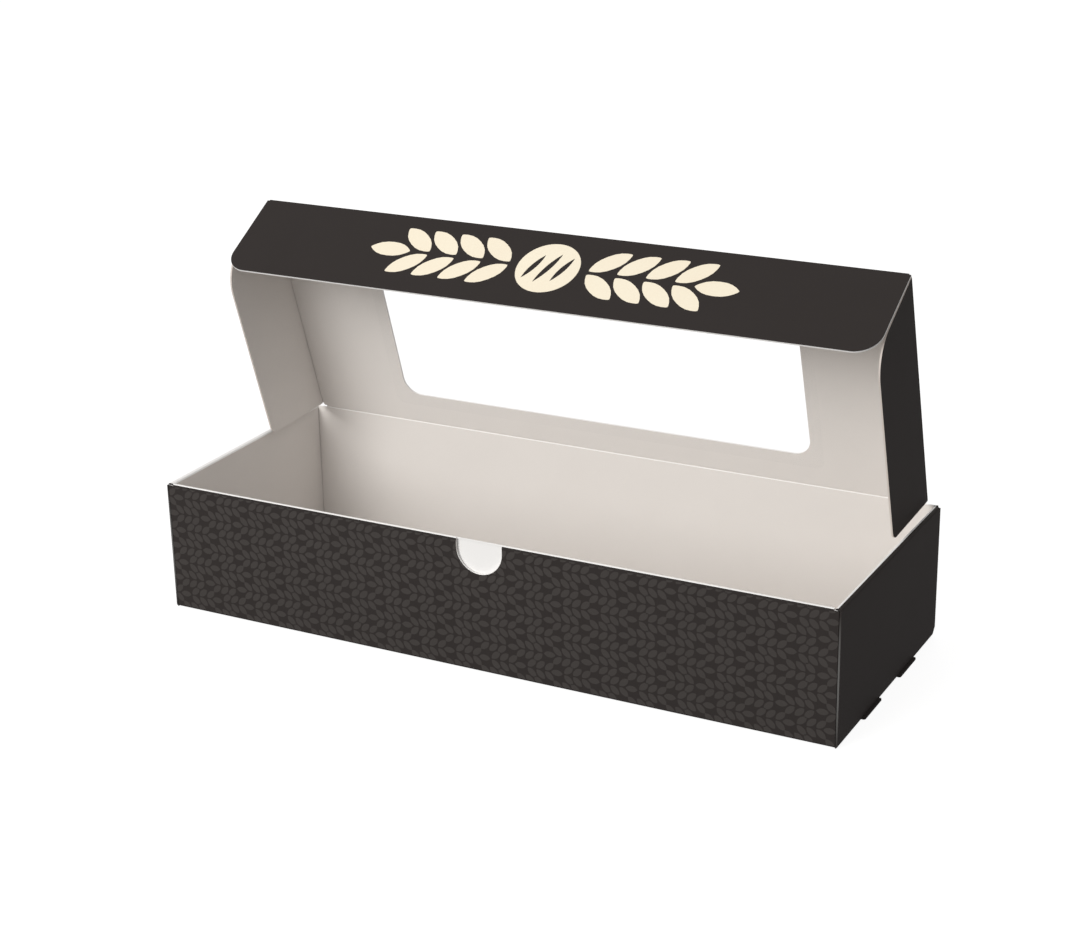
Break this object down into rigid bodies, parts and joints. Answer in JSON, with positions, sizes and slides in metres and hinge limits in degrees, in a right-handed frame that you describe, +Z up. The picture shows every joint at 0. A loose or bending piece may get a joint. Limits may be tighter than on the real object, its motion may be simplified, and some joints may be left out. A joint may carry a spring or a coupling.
{
  "type": "bakery box",
  "caption": "Long folding-board bakery box: tray with rolled double walls and thumb notch, window lid on the rear crease, tuck flap and side flaps.",
  "frame": {"origin": "on the underside of the tray, under the middle of its footprint", "axes": "+X along the box's length to the right, +Y to the hinge side at the back, +Z up; the front wall faces -Y"},
  "size_m": [0.383, 0.142, 0.2031],
  "materials": {
    "tray_board": "matt black print outside, warm white uncoated board inside",
    "lid_board": "matt black print outside, warm white uncoated board inside",
    "tuck_board": "matt black print with cream shapes outside, warm white inside",
    "side_board": "matt black print outside, warm white uncoated board inside",
    "clear_film": "clear gloss film"
  },
  "bodies": {
    "tray": {"tray": "tray_board"},
    "lid": {"lid": "lid_board", "window_film": "clear_film"},
    "tuck_flap": {"tuck_flap": "tuck_board"},
    "side_flap_left": {"side_flap_left": "side_board"},
    "side_flap_right": {"side_flap_right": "side_board"}
  },
  "joints": [
    {"name": "lid_hinge", "type": "hinge", "parent": "tray", "child": "lid", "pos_m": [0, 0.07055, 0.0718], "axis": [-1, 0, 0], "range_deg": [-72.5, 107.5]},
    {"name": "tuck_flap_hinge", "type": "hinge", "parent": "lid", "child": "tuck_flap", "pos_m": [0, 0.02888, 0.20247], "axis": [-1, 0, 0], "range_deg": [0, 102.5]},
    {"name": "side_flap_left_hinge", "type": "hinge", "parent": "lid", "child": "side_flap_left", "pos_m": [-0.1826, 0.07012, 0.07167], "axis": [0, 0.3007, -0.9537], "range_deg": [-82, 90]},
    {"name": "side_flap_right_hinge", "type": "hinge", "parent": "lid", "child": "side_flap_right", "pos_m": [0.1826, 0.07012, 0.07167], "axis": [0, -0.3007, 0.9537], "range_deg": [-82, 90]}
  ]
}
